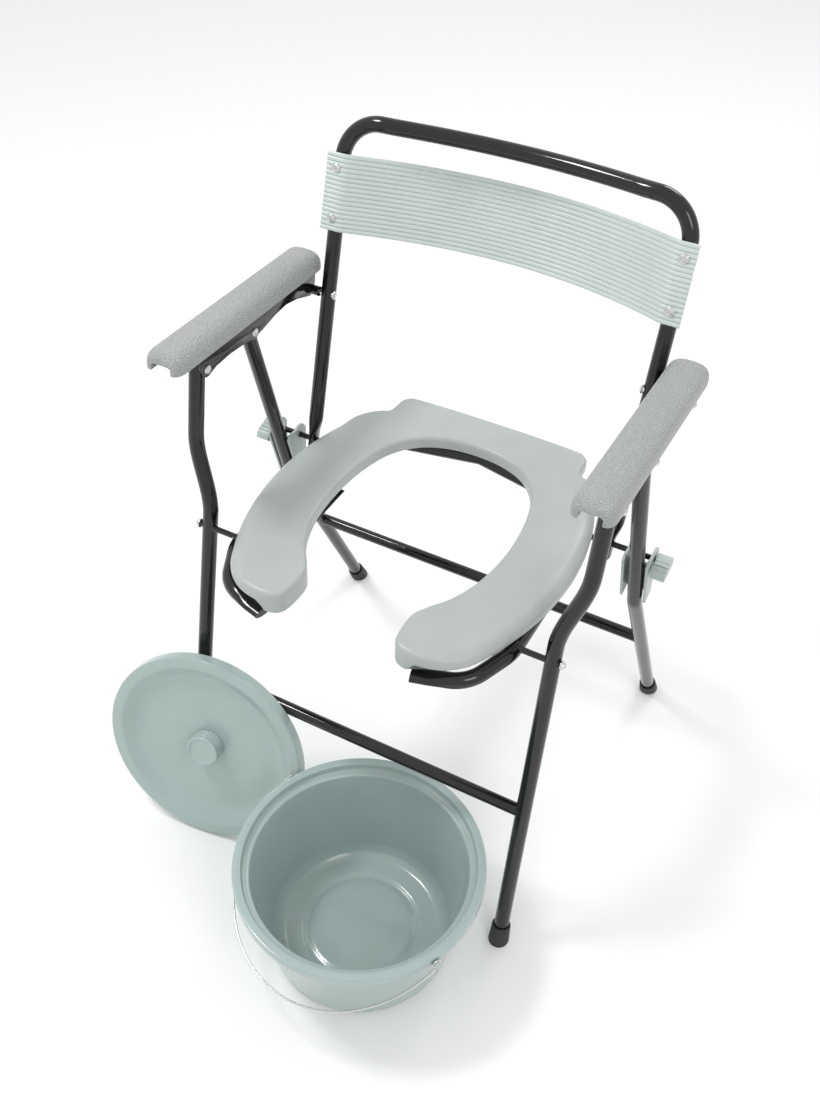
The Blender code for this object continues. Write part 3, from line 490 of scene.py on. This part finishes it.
outer = [(0.000, 0.3380), (0.060, 0.3375), (0.116, 0.3350), (0.128, 0.3310), (0.1345, 0.3220),
         (0.1360, 0.3060), (0.1385, 0.2935), (0.1480, 0.2875), (0.160, 0.2765), (0.173, 0.2560),
         (0.187, 0.2180), (0.1965, 0.1750), (0.2005, 0.1350), (0.2000, 0.0950), (0.1940, 0.0500),
         (0.1840, 0.0100), (0.1700, -0.0270), (0.1550, -0.0560), (0.1350, -0.0740), (0.1120, -0.0825),
         (0.0880, -0.0830), (0.0740, -0.0760), (0.0690, -0.0600)]
inner = [(0.0690, -0.0300), (0.0780, -0.0120), (0.0960, 0.0150), (0.1100, 0.0520), (0.1170, 0.0950),
         (0.1175, 0.1400), (0.1120, 0.1850), (0.0990, 0.2260), (0.0740, 0.2570), (0.0400, 0.2730),
         (0.000, 0.2780)]
half_outline = outer + inner
corners = [Vector(p) for p in half_outline] + [Vector((-x, y)) for x, y in reversed(half_outline[1:-1])]
outline = []
for i in range(len(corners)):
    a, b, c, d = (corners[(i + k - 1) % len(corners)] for k in range(4))
    for k in range(5):
        t = k / 5
        outline.append(0.5 * (2 * b + (c - a) * t + (2 * a - 5 * b + 4 * c - d) * t * t
                              + (3 * b - a - 3 * c + d) * t ** 3))
area = sum(p.x * q.y - q.x * p.y for p, q in zip(outline, outline[1:] + outline[:1]))
inward = []
for i, point in enumerate(outline):
    along = (outline[(i + 1) % len(outline)] - outline[i - 1]).normalized()
    inward.append(Vector((-along.y, along.x)) * (1 if area > 0 else -1))


def seat_low(point):
    """The underside drops at the two front prongs."""
    amount = smoothstep((0.102 - abs(point.x)) / 0.012) * smoothstep((-0.002 - point.y) / 0.024)
    return SEAT_Z_LOW + (PRONG_Z_LOW - SEAT_Z_LOW) * amount


EDGE_LOW = 0.0025


def edge_at(point):
    """How far in, and how far down, the top edge rounds over: broad along the outer sides."""
    outer_side = smoothstep((abs(point.x) - 0.120) / 0.030) * smoothstep((0.262 - point.y) / 0.030)
    return 0.0055 + 0.0125 * outer_side, 0.0055 + 0.0060 * outer_side


rings = []
for k in range(5):
    a = math.pi / 2 * k / 4
    rings.append([Vector((*(p + n * EDGE_LOW * (1 - math.sin(a))),
                          seat_low(p) + EDGE_LOW * (1 - math.cos(a))))
                  for p, n in zip(outline, inward)])
for k in range(11):
    a = math.pi / 2 * k / 10
    rings.append([Vector((*(p + n * edge_at(p)[0] * (1 - math.cos(a))),
                          SEAT_Z_TOP - edge_at(p)[1] * (1 - math.sin(a))))
                  for p, n in zip(outline, inward)])
add("seat_look", skin(rings), "seat_plastic", "seat_unit", ["seat"], SEAT_AT, 50.0)
for side in ("left", "right"):
    softened("bucket_rail_" + side, "black_paint", "seat_unit", 0.0003)
    softened("lock_clip_" + side, "lock_plastic", "lock_" + side, 0.0007)
    softened("lock_lever_" + side, "lock_plastic", "lever_" + side, 0.0009)

# ---------------------------------------------------------------- bucket, bail, lid
wall = [(0, 0.0040), (0.0980, 0.0040), (0.1030, 0), (0.1110, 0), (0.1160, 0.0080), (0.1385, 0.1440),
        (0.1500, 0.1455), (BUCKET_R, 0.1460), (BUCKET_R, 0.1590), (0.1525, BUCKET_H), (0.1440, BUCKET_H),
        (0.1430, 0.1590), (0.1425, 0.1500), (0.1350, 0.1490), (0.1333, 0.1470), (0.1310, 0.1350),
        (0.1120, 0.0260), (0.1060, 0.0160), (0.0980, 0.0110), (0.0760, 0.0085), (0.0730, 0.0065),
        (0.0700, 0.0065), (0.0640, 0.0085), (0, 0.0085)]
add("bucket_look", turned(blunted(wall, 0.0035), 160), "bucket_plastic", "bucket_unit", ["bucket"],
    BUCKET_FRAME)

reach = BUCKET_R + 0.0072
wire_path = []
for k in range(121):
    t = math.pi * k / 120
    swing = max(0.176 * math.sin(t), 0.0054)
    wire_path.append(Vector((reach * math.cos(t), -swing * math.cos(BAIL_DROOP),
                             -swing * math.sin(BAIL_DROOP))))
wire = sweep(wire_path, BAIL_R, (0, -math.sin(BAIL_DROOP), math.cos(BAIL_DROOP)), sides=16)
eyes = [ring_on_x(0.0054, 0.0010, side * (BUCKET_R + 0.0030)) for side in (1, -1)]
add("bail_look", joined(wire, *eyes), "bright_steel", "bail_handle", ["bail"],
    BUCKET_FRAME @ Matrix.Translation((0, 0, EAR_Z)))

dish = [(0, -0.0138), (0.0980, -0.0138), (0.1080, -0.0115), (0.1170, -0.0055), (0.1235, -0.0005), (0.1260, 0),
        (0.1385, 0), (LID_R, -0.0010), (LID_R, -0.0165), (0.1372, -0.0165), (0.1372, -0.0030),
        (0.1265, -0.0030), (0.1195, -0.0090), (0.1090, -0.0150), (0.0990, -0.0165), (0, -0.0165)]
add("lid_look", turned(blunted(dish, 0.0030), 160), "bucket_plastic", "lid_unit", ["lid"], LID_FRAME)
grip = [(0, 0.0040), (0.0180, 0.0040), (0.0190, 0.0055), (0.0215, 0.0055), (0.0225, 0.0040)]
for k in range(3):
    z = 0.0010 - 0.0045 * k
    grip += [(0.0225, z), (0.0214, z - 0.0008), (0.0214, z - 0.0016), (0.0225, z - 0.0024)]
grip += [(0.0225, -0.0135), (0, -0.0135)]
add("lid_knob_look", turned(blunted(grip, 0.0004, 3), 96), "bucket_plastic", "lid_unit", ["lid_knob"],
    LID_FRAME)

# ---------------------------------------------------------------- CAD nodes that stay
for entry in frame["record"]["subparts"]:
    node = frame["nodes"][entry["node"]]
    node.data.materials.clear()
    node.data.materials.append(LOOKS[entry["material_slot"]])

# ---------------------------------------------------------------- floor, light, camera
bm = bmesh.new()
bmesh.ops.create_grid(bm, x_segments=4, y_segments=4, size=6.0)
mesh = bpy.data.meshes.new("floor")
bm.to_mesh(mesh)
bm.free()
floor = bpy.data.objects.new("floor", mesh)
floor.location.z = -0.0005
floor_look = bpy.data.materials.new("floor_look")
floor_look.use_nodes = True
floor_look.node_tree.nodes["Principled BSDF"].inputs["Base Color"].default_value = (0.89, 0.89, 0.89, 1)
floor_look.node_tree.nodes["Principled BSDF"].inputs["Roughness"].default_value = 0.9
mesh.materials.append(floor_look)
bpy.context.scene.collection.objects.link(floor)

world = bpy.data.worlds.new("studio")
bpy.context.scene.world = world
world.use_nodes = True
world.node_tree.nodes["Background"].inputs["Color"].default_value = (1.0, 1.0, 1.0, 1.0)
world.node_tree.nodes["Background"].inputs["Strength"].default_value = 0.88
bpy.context.scene.view_settings.view_transform = "Standard"
LIGHTS = [("key", (-1.2, -0.4, 2.6), 0.5, 26.0), ("fill", (1.8, -1.2, 2.2), 0.9, 12.0),
          ("rim", (0.4, 2.2, 2.4), 0.9, 14.0)]     # name, place, width in metres, watts
AIMED_AT = Vector((0, 0, 0.4))
for name, place, size, power in LIGHTS:
    data = bpy.data.lights.new(name, "AREA")
    data.size = size
    data.energy = power
    lamp = bpy.data.objects.new(name, data)
    lamp.location = place
    lamp.rotation_euler = (AIMED_AT - Vector(place)).to_track_quat("-Z", "Y").to_euler()
    bpy.context.scene.collection.objects.link(lamp)

CAMERA_AT = (0.5173, -0.8943, 1.4305)
AZIMUTH = math.radians(27.7686)
ELEVATION = math.radians(43.2938)
ROLL = math.radians(0.8103)
back = Vector((math.sin(AZIMUTH) * math.cos(ELEVATION), -math.cos(AZIMUTH) * math.cos(ELEVATION),
               math.sin(ELEVATION)))
right = (-back).cross(Vector((0, 0, 1))).normalized()
up = right.cross(-back)
rolled_right = right * math.cos(ROLL) + up * math.sin(ROLL)
rolled_up = up * math.cos(ROLL) - right * math.sin(ROLL)
lens = bpy.data.cameras.new("view")
lens.sensor_fit = "VERTICAL"
lens.sensor_height = 36.0
lens.lens = 39.445
camera = bpy.data.objects.new("view", lens)
camera.matrix_world = (Matrix.Translation(CAMERA_AT)
                       @ Matrix((rolled_right, rolled_up, back)).transposed().to_4x4())
bpy.context.scene.collection.objects.link(camera)
bpy.context.scene.camera = camera
